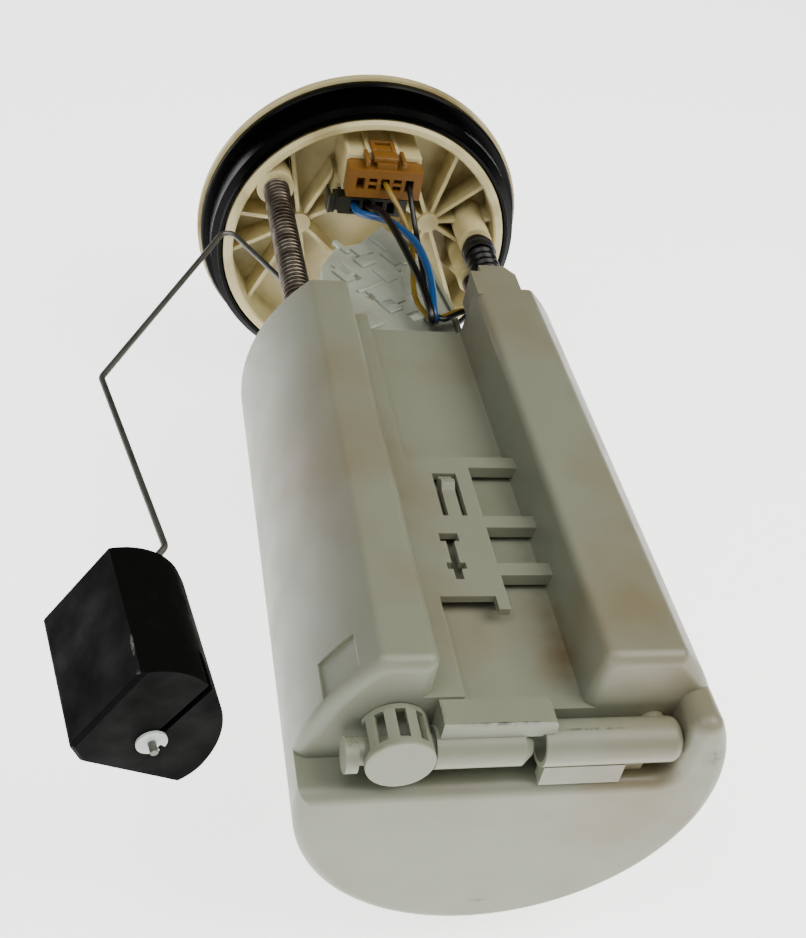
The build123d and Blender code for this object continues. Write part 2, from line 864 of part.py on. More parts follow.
def pump_inlet_cap():
    """The lower cap: inlet throat and the lower shaft bearing."""
    room = pump_r - pump_wall - 0.05
    body = post(room, pump_bottom, pump_bottom + cap_length, unit_at)
    body += post(5.0, pump_bottom - 8, pump_bottom + 0.1, (unit_at[0] + 9, unit_at[1]))
    body -= post(3.4, pump_bottom - 9, pump_bottom + cap_length + 1, (unit_at[0] + 9, unit_at[1]))
    body -= post(shaft_r + shaft_run, pump_bottom + 3, pump_bottom + cap_length + 1, unit_at)
    return body


def pump_outlet_cap():
    """The upper cap: outlet pipe and the upper shaft bearing."""
    room = pump_r - pump_wall - 0.05
    low = pump_top - cap_length
    body = post(room, low, pump_top, unit_at)
    body += post(pump_r - 1.5, pump_top - 0.1, pump_top + 5, unit_at)
    body += post(5.0, pump_top, filter_top - 1, unit_at)
    body -= post(3.0, pump_top - 2, filter_top + 1, unit_at)
    body -= post(2.0, low - 1, pump_top + 1, (unit_at[0] + 9, unit_at[1]))
    body -= post(shaft_r + shaft_run, low - 1, low + 5, unit_at)
    return body


def rotor_low():
    return pump_bottom + cap_length + 0.4


def impeller():
    """A regenerative impeller with vanes round its rim."""
    low = rotor_low()
    body = ring(impeller_r, shaft_r + 0.02, low, low + impeller_thick, unit_at)
    gap = block(impeller_r - 3.0, impeller_r - 0.6, -0.9, 0.9, low - 1, low + impeller_thick + 1)
    for index in range(impeller_vanes):
        body -= Pos(unit_at[0], unit_at[1], 0) * Rot(0, 0, 360 * index / impeller_vanes) * gap
    return body


def armature():
    """A slotted core on the shaft, with its commutator above."""
    low = rotor_low() + impeller_thick + 8
    body = ring(armature_r, shaft_r + 0.02, low, low + armature_length, unit_at)
    slot = block(6.0, armature_r + 1, -1.1, 1.1, low - 1, low + armature_length + 1)
    for index in range(8):
        body -= Pos(unit_at[0], unit_at[1], 0) * Rot(0, 0, 45 * index) * slot
    body += ring(5.0, shaft_r + 0.02, low + armature_length - 0.1, low + armature_length + 8, unit_at)
    return body


def rotor_shaft():
    return post(shaft_r, pump_bottom + 3.3, pump_top - cap_length + 4.7, unit_at)


def magnets():
    """Two curved magnets against the case."""
    outer = pump_r - pump_wall - 0.05
    inner = armature_r + air_gap
    low = rotor_low() + impeller_thick + 8
    shell = ring(outer, inner, low, low + armature_length, unit_at)
    x, y = unit_at
    shell -= block(x - 4, x + 4, y - pump_r, y + pump_r, low - 1, low + armature_length + 1)
    return shell


def pump_seal():
    return ring(port_r - 0.05, 5.05, filter_top + 0.05, filter_top + 3.8, unit_at) - post(
        5.05, filter_top - 5, filter_top + 1, unit_at
    )


def pump_cushion():
    """A rubber foot ring between the pump and the can's shelf."""
    low = filter_bottom + 2.55
    return ring(pump_r - 0.2, pump_r - 3.2, low, pump_bottom - 0.05, unit_at)


def inlet_strainer():
    """A flat mesh sock with a neck that pushes onto the inlet throat."""
    x, y = unit_at[0] + 9, unit_at[1]
    top = pump_bottom - 8.1
    bag = Pos(x - 6, y, pot_floor + 7) * Box(38, 26, 9)
    bag = fillet(bag.edges().filter_by(Axis.Z), 8)
    bag = fillet(bag.faces().sort_by(Axis.Z)[-1].edges(), 3)
    neck = post(6.2, pot_floor + 11, top + 6, (x, y)) - post(5.05, top - 0.1, top + 7, (x, y))
    return bag + neck - post(3.2, pot_floor + 9, top + 1, (x, y))


# ------------------------------------------------------------------
# Jet pump under the pot
# ------------------------------------------------------------------

def jet_filter_cap():
    """A round cap with slots in its wall and wide openings for the barrel."""
    x, y = jet_cap_at
    low = pot_bottom - 0.2
    high = recess_ceiling - 0.3
    body = post(jet_cap_r, low, high, jet_cap_at)
    rim = [e for e in body.edges() if abs(e.center().Z - low) < 0.01]
    body = fillet(rim, 0.6)
    body -= post(jet_cap_r - 1.8, low + 1.8, high + 1, jet_cap_at)
    slot = block(jet_cap_r - 3, jet_cap_r + 1, -1.5, 1.5, low + 2.2, high - 1.6)
    for index in range(jet_cap_slots):
        body -= Pos(x, y, 0) * Rot(0, 0, 360 * (index + 0.5) / jet_cap_slots) * slot
    body -= block(x - 12, x + 12, jet_y - 4.4, jet_y + 4.4, low + 1.8, high + 1)
    return body


def jet_barrel():
    """The nozzle barrel: a fat tube with a chamfered tip, its inlet stub inside the cap."""
    x = jet_cap_at[0]
    tip = 1.5
    start = x + jet_cap_r + 0.3
    body = bar_x(jet_barrel_r, start, tip - 3, jet_y, jet_z)
    cone = Pos(tip - 1.5, jet_y, jet_z) * Rot(0, 90, 0) * Cone(jet_barrel_r, jet_barrel_r - 2.6, 3)
    body += cone
    body += bar_x(3.9, x - jet_cap_r - 4.8, start + 0.5, jet_y, jet_z - 0.4)
    body += bar_x(5.0, x - jet_cap_r - 4.8, x - jet_cap_r - 1.4, jet_y + 0.8, jet_z - 1.0)
    body -= bar_x(1.4, x, tip + 1, jet_y, jet_z)
    return body


def jet_clamp():
    """The moulded block that saddles the barrel against the pot."""
    left = jet_cap_at[0] + jet_cap_r + 1.2
    body = block(left, 7.0, -30.0, jet_y - 1.5, pot_bottom + 4.6, recess_ceiling - 0.05)
    corner = [e for e in body.edges().filter_by(Axis.Z) if e.center().X > 6 and e.center().Y < -29]
    body = fillet(corner, 2.4)
    body -= bar_x(jet_barrel_r + 0.05, left - 1, mixing_left - 0.5, jet_y, jet_z)
    body -= bar_x(mixing_r + 0.2, mixing_left - 1, 12, jet_y, jet_z)
    return body


def mixing_tube():
    """The mixing tube, with a bell mouth, a closed end and a port up into the pot."""
    body = bar_x(mixing_r, mixing_left, mixing_right, jet_y, jet_z)
    ends = [e for e in body.edges() if abs(e.center().X - mixing_right) < 0.01]
    body = fillet(ends, 3.0)
    body += block(mixing_left + 1, mixing_left + 25, jet_y + 4, recess_back - 0.2, jet_z - 5.5, jet_z - 1.0)
    body += block(mixing_left + 23, mixing_left + 33, jet_y + 4, recess_back - 0.2, jet_z - 1.5, jet_z + 3.0)
    body -= bar_x(mixing_bore_r - 1.0, mixing_left - 1, mixing_right - 4, jet_y, jet_z)
    mouth = Pos(mixing_left + 2, jet_y, jet_z) * Rot(0, 90, 0) * Cone(mixing_r - 0.9, mixing_bore_r - 1.0, 6)
    body -= mouth
    port_at = (mixing_right - 6, jet_y)
    body += post(mixing_bore_r - 0.1, jet_z, front_floor + 2, port_at)
    body -= post(mixing_bore_r - 1.3, jet_z, front_floor + 3, port_at)
    return body


# ------------------------------------------------------------------
# Level sender
# ------------------------------------------------------------------

def sender_frame():
    """The fixed plate with the pivot hole, seated against the head's side."""
    x, z = pivot
    front = arm_y + 1.4 + rotor_thick + 0.4
    seat = -head_left - 0.05
    outline = [
        (x - 14, z + 8),
        (x - 8, z + 12),
        (x + 8, z + 12),
        (seat, z + 4),
        (seat, lid_top + 0.3),
        (x + 5, lid_top + 0.3),
        (x + 5, z - 28),
        (x - 14, z - 28),
    ]
    body = upright_profile(outline, front, front + frame_thick)
    body += bar_y(journal_r + 2.4, front + frame_thick - 0.1, front + frame_thick + 3, x, z)
    return body - bar_y(journal_r + journal_run, front - 1, front + frame_thick + 4, x, z)


def resistor_card():
    """The thin ceramic card that the wiper runs over."""
    x, z = pivot
    front = arm_y + 1.4 + rotor_thick + 0.4
    return block(x - 12, x + 4.5, front - card_thick, front - 0.02, z - 26, z - 10)


def sender_rotor():
    """The hub that carries the float arm, with its journal behind."""
    x, z = pivot
    front = arm_y + 1.4
    body = bar_y(rotor_r, front, front + rotor_thick, x, z)
    body += bar_y(journal_r, front + rotor_thick - 0.1, front + rotor_thick + frame_thick + 3, x, z)
    clip = block(-2.4, 2.4, arm_y - 0.2, front + 0.1, 9.5, 13.5)
    clip += block(-3.2, 3.2, front, front + 2.2, 4.0, 14.0)
    slot = block(-arm_wire_r - 0.03, arm_wire_r + 0.03, arm_y - 2, front - 0.25, 9, 15)
    lean = math.degrees(math.atan2(arm_bends[0][0] - x, arm_bends[0][1] - z))
    body += Pos(x, 0, z) * Rot(0, lean, 0) * (clip - slot)
    return body - bar_y(arm_wire_r + 0.03, front - 1, front + rotor_thick - 1.0, x, z)


def wiper_contacts():
    """Two spring fingers from the hub down to the card."""
    x, z = pivot
    front = arm_y + 1.4 + rotor_thick - 0.9
    rear = arm_y + 1.4 + rotor_thick + 0.4 - card_thick - 0.05
    finger_top = z - rotor_r - 0.1
    fingers = [block(x + dx - 0.9, x + dx + 0.9, rear - 0.3, rear, z - 19, finger_top) for dx in (-2.0, 2.0)]
    bridge = block(x - 2.9, x + 2.9, front - 0.3, rear, z - rotor_r - 2.4, z - rotor_r - 0.1)
    return bridge + fingers


def float_axis():
    """Unit vector down the float's rod, in X and Z."""
    dx = arm_end[0] - arm_bends[3][0]
    dz = arm_end[1] - arm_bends[3][1]
    length = math.hypot(dx, dz)
    return dx / length, dz / length


def float_arm():
    x, z = pivot
    dx, dz = float_axis()
    points = [(x, arm_y + 1.4 + rotor_thick - 1.2, z), (x, arm_y, z)]
    points += [(bx, arm_y, bz) for bx, bz in arm_bends]
    points.append((arm_end[0] + arm_tail * dx, arm_y, arm_end[1] + arm_tail * dz))
    radii = [1.6] + [arm_bend_r] * (len(points) - 3)
    return wire_tube(points, RegularPolygon(arm_wire_r, arm_sides), radii)


def float_plane(back):
    """A plane square to the rod, a given distance up from the float's lower face."""
    dx, dz = float_axis()
    origin = (arm_end[0] - dx * back, arm_y, arm_end[1] - dz * back)
    return Plane(origin=origin, x_dir=(-dz, 0, dx), z_dir=(-dx, 0, -dz))


def float_body():
    """A foam block with a rounded nose, bored for the rod, and slit so that the rod can be pressed in."""
    flats = Polyline((7.0, 20.3), (-17.9, 4.8), (-21.0, -2.4), (-3.9, -27.8))
    shoulder = ThreePointArc((-3.9, -27.8), (8.8, -24.2), (16.2, -14.0))
    nose = ThreePointArc((16.2, -14.0), (18.9, -1.5), (15.4, 12.6))
    tail = ThreePointArc((15.4, 12.6), (11.9, 17.3), (7.0, 20.3))
    outline = make_face(Wire([*flats.edges(), *shoulder.edges(), *nose.edges(), *tail.edges()]))
    corners = outline.vertices().filter_by(lambda v: v.X < 0 and v.Y > -10)
    outline = fillet(corners, float_corner_round)
    body = extrude(float_plane(0) * outline, amount=float_length)
    near = body.faces().sort_by(Axis((0, 0, 0), tuple(float_plane(0).z_dir)))[0]
    worn = near.edges().filter_by(GeomType.LINE).sort_by(SortBy.LENGTH)[-1]
    body = chamfer(worn, float_edge)
    body -= extrude(float_plane(-1) * Circle(arm_wire_r + float_bore_run), amount=float_length + 2)
    slit = Rot(0, 0, -52) * Pos(slit_reach / 2, 0) * Rectangle(slit_reach, slit_wide)
    return body - extrude(float_plane(-1) * slit, amount=slit_depth + 1)


def float_washer():
    """A push-on washer with a gap, under the float."""
    disc = Circle(washer_r) - Circle(arm_wire_r + 0.04)
    disc -= Pos(0.7 * washer_r, 0.7 * washer_r) * Rot(0, 0, 45) * Rectangle(0.8 * washer_r, 1.8)
    return extrude(float_plane(-0.85) * disc, amount=0.8)


# ------------------------------------------------------------------
# Leads
# ------------------------------------------------------------------

def lead(points, radius):
    """A lead along its clipped route, with arcs as large as the runs allow."""
    bends = []
    for before, here, after in zip(points, points[1:], points[2:]):
        into = Vector(*here) - Vector(*before)
        out = Vector(*after) - Vector(*here)
        turn = math.radians(into.get_angle(out))
        bends.append(0.45 * min(into.length, out.length) / math.tan(turn / 2))
    print("lead bend radii", [round(b, 1) for b in bends])
    return wire_tube(points, RegularPolygon(radius, 8), bends)


yellow_route = [
    (0.0, pump_row_y, pump_plug_low + 4.8),
    (1.2, pump_row_y + 0.4, -29.5),
    (6.2, -33.0, -37.5),
    (9.6, -27.2, -45.5),
    (8.2, -24.2, -60.0),
    (6.2, -23.4, -73.0),
    (5.6, -23.2, -86.0),
    (10.0, -23.4, -95.0),
    (17.2, -23.6, -91.2),
    (25.0, -23.6, -88.0),
    (31.2, -20.5, -92.0),
    (31.0, head_front + 5.0, -98.0),
    (30.8, head_front + 5.2, lid_top + 8.1),
]
black_pump_route = [
    (10.0, pump_row_y, pump_plug_low + 4.8),
    (10.2, pump_row_y + 1.0, -30.0),
    (11.0, -32.0, -38.0),
    (12.2, -26.4, -47.0),
    (11.2, -25.8, -62.0),
    (8.8, -26.0, -84.0),
    (12.2, -25.9, -97.2),
    (18.4, -26.4, -94.0),
    (26.0, -26.4, -91.4),
    (33.8, -22.5, -95.5),
    (33.8, head_front + 4.6, -100.0),
    (34.0, head_front + 4.8, lid_top + 8.1),
]
blue_route = [
    (-9.5, sender_row_y, sender_plug_low + 4.8),
    (-9.2, sender_row_y - 0.3, -25.5),
    (-6.4, -26.8, -30.6),
    (0.2, -27.6, -34.2),
    (5.0, -28.6, -41.0),
    (9.8, -30.2, -55.0),
    (10.8, -30.4, -71.0),
    (10.2, -30.2, -86.0),
    (8.0, -27.4, -98.6),
    (8.4, -22.5, -101.6),
    (8.4, head_front - 0.2, -101.4),
]
black_sender_route = [
    (-4.5, sender_row_y, sender_plug_low + 4.8),
    (-4.3, sender_row_y - 1.1, -24.5),
    (-2.0, -31.2, -33.0),
    (0.6, -31.6, -42.0),
    (3.0, -31.2, -56.0),
    (4.7, -31.0, -71.5),
    (5.6, -30.6, -87.0),
    (4.4, -27.2, -98.4),
    (4.2, -22.5, -102.0),
    (4.2, head_front - 0.2, -101.7),
]


# ------------------------------------------------------------------
# Write every piece
# ------------------------------------------------------------------

save("tank_flange", tank_flange())
save("flange_seal", flange_seal())
save("terminal_pins", Compound(children=blades()))
save("pump_plug", plug(pump_socket, pump_socket_drop, pump_plug_reach, "front"))
save("sender_plug", plug(sender_socket, sender_socket_drop, sender_plug_reach, "side"))
save("guide_rod_left", guide_rod(rod_left))
save("guide_rod_right", guide_rod(rod_right))
save("rod_clips", Compound(children=[rod_clip(rod_left), rod_clip(rod_right)]))
save("spring_left", spring(rod_left, boss_left_end))
save("spring_right", spring(rod_right, boss_right_end))
save("fuel_hose", fuel_hose())
save("hose_clip_upper", hose_clip(hose_top - 7))
save("hose_clip_lower", hose_clip(hose_bottom() + 6))
save("wire_yellow", lead(yellow_route, lead_r))
save("wire_black_pump", lead(black_pump_route, lead_r))
save("wire_blue", lead(blue_route, thick_lead_r))
save("wire_black_sender", lead(black_sender_route, thick_lead_r))
save("reservoir_pot", reservoir_pot())
save("head_cover", head_cover())
save("head_side_plate", head_side_plate())
save("filter_case", filter_case())
save("filter_element", filter_element())
save("filter_lid", filter_lid())
save("regulator_body", regulator_body())
save("regulator_valve", regulator_valve())
save("regulator_spring", regulator_spring())
save("pump_case", pump_case())
save("pump_inlet_cap", pump_inlet_cap())
save("pump_outlet_cap", pump_outlet_cap())
save("pump_seal", pump_seal())
save("pump_cushion", pump_cushion())
save("inlet_strainer", inlet_strainer())
save("pump_magnets", magnets())
save("impeller", impeller())
save("armature", armature())
save("rotor_shaft", rotor_shaft())
save("jet_filter_cap", jet_filter_cap())
save("jet_barrel", jet_barrel())
save("jet_clamp", jet_clamp())
save("mixing_tube", mixing_tube())
save("sender_frame", sender_frame())
save("resistor_card", resistor_card())
save("sender_rotor", sender_rotor())
save("wiper_contacts", wiper_contacts())
save("float_arm", float_arm())
save("float_body", float_body())
save("float_washer", float_washer())
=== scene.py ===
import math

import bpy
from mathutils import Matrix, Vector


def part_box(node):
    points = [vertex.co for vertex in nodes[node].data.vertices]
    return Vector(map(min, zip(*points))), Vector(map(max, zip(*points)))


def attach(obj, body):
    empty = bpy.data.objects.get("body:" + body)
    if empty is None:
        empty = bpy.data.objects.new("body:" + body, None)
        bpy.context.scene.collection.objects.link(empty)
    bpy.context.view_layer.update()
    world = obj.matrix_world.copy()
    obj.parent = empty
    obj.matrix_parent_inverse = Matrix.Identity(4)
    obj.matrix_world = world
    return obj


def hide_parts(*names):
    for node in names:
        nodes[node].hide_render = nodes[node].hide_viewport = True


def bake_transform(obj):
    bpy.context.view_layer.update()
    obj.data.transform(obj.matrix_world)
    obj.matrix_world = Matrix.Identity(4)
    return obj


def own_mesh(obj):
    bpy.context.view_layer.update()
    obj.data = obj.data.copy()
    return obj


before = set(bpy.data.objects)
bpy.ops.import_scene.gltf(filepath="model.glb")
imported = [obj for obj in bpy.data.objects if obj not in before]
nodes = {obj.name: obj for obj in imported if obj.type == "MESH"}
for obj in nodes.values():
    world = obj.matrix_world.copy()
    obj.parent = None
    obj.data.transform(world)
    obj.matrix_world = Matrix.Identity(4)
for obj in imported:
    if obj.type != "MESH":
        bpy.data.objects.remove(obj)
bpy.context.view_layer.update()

# %% [markdown]
# A fuel pump module hangs inside a vehicle's tank. A round flange seals the tank, two rods carry a sliding
# pot, and a float on a bent wire reads the level. The solids come in as a fixed frame in metres, so this
# file gives them their finishes and adds the pieces that need a finer mesh: springs, hose, leads and trim.

MM = 0.001


# %% [markdown]
# Colours are written as the hex values that a designer would pick by eye, and Blender's shaders want linear
# light, so one helper converts them. Every material is a small graph, and a second helper adds one node with
# its settings and its links, which keeps each recipe short enough to read.

# %% Colour and node helpers
def hex_colour(code):
    """Turn an sRGB hex value into linear red, green, blue and alpha."""
    values = [int(code[i:i + 2], 16) / 255 for i in (1, 3, 5)]
    linear = [v / 12.92 if v <= 0.04045 else ((v + 0.055) / 1.055) ** 2.4 for v in values]
    return (*linear, 1.0)


def add_node(tree, kind, inputs=None, stops=(), **settings):
    """Add one shader node, set its properties, fill or link its inputs and set a ramp's two colour stops."""
    made = tree.nodes.new(kind)
    for key, value in settings.items():
        setattr(made, key, value)
    for key, value in (inputs or {}).items():
        if isinstance(value, bpy.types.NodeSocket):
            tree.links.new(value, made.inputs[key])
        else:
            made.inputs[key].default_value = value
    for index, (position, colour) in enumerate(stops):
        made.color_ramp.elements[index].position = position
        made.color_ramp.elements[index].color = colour
    return made


def new_material(name):
    """Start a material with an output, a Principled shader and object coordinates."""
    material = bpy.data.materials.new(name)
    material.use_nodes = True
    tree = material.node_tree
    tree.nodes.clear()
    shader = add_node(tree, "ShaderNodeBsdfPrincipled")
    place = add_node(tree, "ShaderNodeTexCoord").outputs["Object"]
    output = add_node(tree, "ShaderNodeOutputMaterial")
    tree.links.new(shader.outputs["BSDF"], output.inputs["Surface"])
    return material, tree, shader, place


# %% [markdown]
# Object coordinates are in metres here, so a pattern that repeats every few millimetres needs a scale of
# one over that length. The recipes below share a few patterns: blotches, short scratches and a mark round a
# point. Each real surface then gets its colour, its gloss and a grain of a real depth in one go.

# %% Pattern recipes
BLACK = (0.0, 0.0, 0.0, 1.0)
WHITE = (1.0, 1.0, 1.0, 1.0)
OLD_GRIME = "#4A463C"


def grey(level):
    """A grey of one linear level."""
    return (level, level, level, 1.0)


def blotches(tree, place, size_mm, detail=3.0, rough=0.5, stretch=(1, 1, 1), stops=()):
    """Noise whose blotches are about size_mm across, sharpened by grey stops where they are given."""
    scaled = add_node(tree, "ShaderNodeMapping", {"Vector": place, "Scale": stretch}).outputs["Vector"]
    settings = {"Vector": scaled, "Scale": 1 / (size_mm * MM), "Detail": detail, "Roughness": rough}
    cloud = add_node(tree, "ShaderNodeTexNoise", settings).outputs["Fac"]
    if not stops:
        return cloud
    return add_node(tree, "ShaderNodeValToRGB", {"Fac": cloud}, stops).outputs["Color"]


def scratches(tree, place, spacing_mm, reach):
    """Short hairlines where two stretched noises peak together; reach is from 0, none, to 1, all over."""
    line = blotches(tree, place, spacing_mm, 2.0, 0.6, (1.0, 6.0, 0.6), [(0.66, BLACK), (0.70, WHITE)])
    where = blotches(tree, place, spacing_mm * 4, 2.0, 0.5, stops=[(1 - reach, BLACK), (1.08 - reach, WHITE)])
    both = {0: 1.0, 6: line, 7: where}
    return add_node(tree, "ShaderNodeMix", both, data_type="RGBA", blend_type="MULTIPLY").outputs[2]


def smear(tree, place, centre, reach, breakup_mm=1.5):
    """A mark round a point, in millimetres, that fades out along each axis and is broken up by noise."""
    offset = {0: place, 1: [c * MM for c in centre]}
    away = add_node(tree, "ShaderNodeVectorMath", offset, operation="SUBTRACT").outputs[0]
    shares = {0: away, 1: [r * MM for r in reach]}
    scaled = add_node(tree, "ShaderNodeVectorMath", shares, operation="DIVIDE").outputs[0]
    length = add_node(tree, "ShaderNodeVectorMath", {0: scaled}, operation="LENGTH").outputs["Value"]
    fade = [(0.35, WHITE), (1.0, BLACK)]
    core = add_node(tree, "ShaderNodeValToRGB", {"Fac": length}, fade).outputs["Color"]
    patchy = blotches(tree, place, breakup_mm, 4.0, 0.7, stops=[(0.38, BLACK), (0.62, WHITE)])
    both = {0: 1.0, 6: core, 7: patchy}
    return add_node(tree, "ShaderNodeMix", both, data_type="RGBA", blend_type="MULTIPLY").outputs[2]


def cover(tree, under, over, where):
    """Lay a hex colour over another colour where the mask is bright."""
    under = hex_colour(under) if isinstance(under, str) else under
    layers = {0: where, 6: under, 7: hex_colour(over)}
    return add_node(tree, "ShaderNodeMix", layers, data_type="RGBA").outputs[2]


def surface(tree, shader, colour, rough, grain, depth_mm, strength):
    """Give the shader its colour and roughness, and a grain of a real depth."""
    tree.links.new(colour, shader.inputs["Base Color"])
    if isinstance(rough, bpy.types.NodeSocket):
        tree.links.new(rough, shader.inputs["Roughness"])
    else:
        shader.inputs["Roughness"].default_value = rough
    relief = {"Height": grain, "Distance": depth_mm * MM, "Strength": strength}
    tree.links.new(add_node(tree, "ShaderNodeBump", relief).outputs["Normal"], shader.inputs["Normal"])


# %% [markdown]
# The pot is natural acetal, injection moulded with no pigment. It lets light in a few millimetres, so it
# looks milky, a little grey-green, and warmer where fuel has stained it. Subsurface scattering gives the
# soft milkiness, and a fine moulded grain keeps the gloss broad. Marks round points are laid on top: some
# are real fuel stains, and some are painted shade, such as the darker left lobe of the pot and the amber
# inside the flange's cup.

# %% Moulded acetal finishes
SCATTER_DEPTH_MM = 4.0


def moulded_acetal(name, base, stain, scatter, rough, stain_mm=60.0, stain_low=0.45, dirt=0.0, marks=()):
    """Unpigmented or lightly tinted acetal, with slow stains, fine grain, optional scuffs and marks of stain
    and painted shade.
    """
    material, tree, shader, place = new_material(name)
    stain_stops = [(stain_low, BLACK), (stain_low + 0.25, WHITE)]
    colour = cover(tree, base, stain, blotches(tree, place, stain_mm, 3.0, 0.55, stops=stain_stops))
    if dirt > 0:
        colour = cover(tree, colour, OLD_GRIME, scratches(tree, place, 3.0, dirt))
    # Each mark lays a colour round a point; the lists below use marks for real stains and for painted shade.
    for centre, reach, breakup_mm, strength, tint in marks:
        share = {0: smear(tree, place, centre, reach, breakup_mm), 1: strength}
        amount = add_node(tree, "ShaderNodeMath", share, operation="MULTIPLY").outputs[0]
        colour = cover(tree, colour, tint, amount)
    shader.inputs["Subsurface Weight"].default_value = scatter
    shader.inputs["Subsurface Radius"].default_value = (1.0, 0.9, 0.7)
    shader.inputs["Subsurface Scale"].default_value = SCATTER_DEPTH_MM * MM
    shader.inputs["IOR"].default_value = 1.48
    wiped = [(0.3, grey(rough - 0.06)), (0.7, grey(rough + 0.08))]
    gloss = blotches(tree, place, 18.0, 4.0, 0.6, stops=wiped)
    surface(tree, shader, colour, gloss, blotches(tree, place, 0.8, 2.0, 0.6), 0.03, 0.35)
    return material


# Each mark is a centre, a reach and a breakup size in millimetres, a strength and a colour. The second mark
# is painted shade, a grey-brown darkening down the front of the pot's left lobe, the side that gets less
# light. The first is a brown patch low in the channel's right side, and the rest are small dark smudges,
# specks and lines.
fuel_marks_and_painted_shade = [
    ((17, -20, -254), (12, 12, 36), 30.0, 0.75, "#66512F"),
    # painted shade: darkens the front of the pot's left lobe
    ((-50, -38, -205), (16, 14, 60), 40.0, 0.45, "#6F6450"),
    ((55.5, -17, -290), (6, 7, 7), 1.6, 0.75, "#3A352C"),
    ((-8, -30, -288.8), (17, 1.6, 0.5), 2.0, 0.95, "#2E2A22"),
    ((17, -24.2, -287.6), (14, 1.4, 0.6), 2.0, 0.8, "#3A352C"),
    ((0, 50.8, -293.5), (3.6, 0.9, 1.5), 0.8, 1.0, "#25241F"),
    ((-49, -20, -286), (3.5, 5, 5), 1.0, 0.7, "#3A352C"),
    ((-26, -30, -284), (1.4, 2, 5), 0.9, 0.9, "#2E2A22"),
    ((-36.5, -27.5, -281.5), (7, 2, 1.2), 1.2, 0.8, "#3A352C"),
]
milky = moulded_acetal("natural_acetal_moulded", "#7B7E6C", "#736A51", 0.25, 0.4, dirt=0.3, marks=fuel_marks_and_painted_shade)
# On the flange, the first mark is the socket's own pinkish tint. The second and third are painted shade:
# amber darkening inside the cup where it lies deep in shade.
cup_tint_and_painted_shade = [
    ((0, -40, -8), (24, 13, 17), 60.0, 0.7, "#9A7552"),
    # painted shade: the next two marks darken the inside of the cup to amber
    ((-44, -14, 0), (24, 44, 16), 30.0, 0.6, "#70571F"),
    ((30, 30, 0), (34, 30, 16), 30.0, 0.35, "#7C6430"),
]
cream = moulded_acetal("cream_acetal_moulded", "#BFB384", "#8C7C4A", 0.25, 0.42, 26.0, 0.45, marks=cup_tint_and_painted_shade)
white = moulded_acetal("white_acetal_moulded", "#969B8D", "#7F8472", 0.22, 0.38, 30.0)
print("acetal finishes", milky.name, cream.name, white.name)


# %% [markdown]
# The seal is moulded nitrile rubber, wet with a film of fuel and grease, so it is nearly black with faint
# long highlights. The plugs and the float are dry by comparison. One recipe covers the dark mouldings, with
# the roughness and the grit size as its real differences.

# %% Black rubber, foam and plug plastics
RUBBED_TO = "#8E8F86"


def dark_moulding(name, base, worn, rough, grit_mm, depth_mm, wear=0.3, scuffs=(), shine=0.5):
    """A dark moulding with grit, and paler wear where it has been rubbed."""
    material, tree, shader, place = new_material(name)
    rub_stops = [(0.75 - wear * 0.5, BLACK), (0.95 - wear * 0.3, WHITE)]
    colour = cover(tree, base, worn, blotches(tree, place, 9.0, 6.0, 0.65, stops=rub_stops))
    for centre, reach, breakup_mm in scuffs:
        colour = cover(tree, colour, RUBBED_TO, smear(tree, place, centre, reach, breakup_mm))
    shader.inputs["IOR"].default_value = 1.52
    shader.inputs["Specular IOR Level"].default_value = shine
    gloss = blotches(tree, place, 14.0, 3.0, 0.6, stops=[(0.3, grey(rough * 0.8)), (0.7, grey(rough * 1.25))])
    surface(tree, shader, colour, gloss, blotches(tree, place, grit_mm, 3.0, 0.7), depth_mm, 0.5)
    return material


rubber = dark_moulding("nitrile_rubber_oiled", "#020202", "#080807", 0.24, 2.5, 0.03, 0.2, shine=0.07)
foam_scuffs = [((-108.6, -46.8, -283.7), (3.4, 1.5, 3.4), 0.7), ((-107.5, -47, -276), (0.8, 0.8, 6), 0.6)]
foam = dark_moulding("nitrile_foam_cut", "#050605", "#0D0F0C", 0.72, 0.9, 0.08, 0.4, foam_scuffs, 0.06)
black_plug = dark_moulding("black_polyester_moulded", "#1E1E15", "#35352A", 0.38, 0.8, 0.02)
orange_plug = dark_moulding("orange_polyester_moulded", "#714A12", "#85602A", 0.42, 0.8, 0.02)
hose_black = dark_moulding("black_nylon_corrugated", "#060605", "#121310", 0.34, 1.2, 0.03, shine=0.25)
ferrite = dark_moulding("ferrite_sintered", "#2B2B2A", "#3A3A38", 0.6, 0.5, 0.02)
clip_black = dark_moulding("steel_crimp_blackened", "#0B0B0A", "#1C1B19", 0.35, 0.5, 0.02)
print("dark finishes", rubber.name, foam.name)


# %% [markdown]
# The springs, rods and float arm are steel. Fuel dries on them to a brown film in patches, so one noise
# drives both the colour and the roughness, over a fine grain.

# %% Steel, brass and winding
def metal(name, base, film, rough, grain_mm, amount=0.5):
    """Bare metal with a patchy film."""
    material, tree, shader, place = new_material(name)
    patch = blotches(tree, place, 7.0, 5.0, 0.6)
    film_stops = [(0.65 - amount * 0.4, BLACK), (0.80 - amount * 0.3, WHITE)]
    where = add_node(tree, "ShaderNodeValToRGB", {"Fac": patch}, film_stops).outputs["Color"]
    gloss_stops = [(0.3, grey(rough)), (0.75, grey(rough + 0.22))]
    gloss = add_node(tree, "ShaderNodeValToRGB", {"Fac": patch}, gloss_stops).outputs["Color"]
    shader.inputs["Metallic"].default_value = 1.0
    grain = blotches(tree, place, grain_mm, 2.0, 0.6)
    surface(tree, shader, cover(tree, base, film, where), gloss, grain, 0.02, 0.4)
    return material


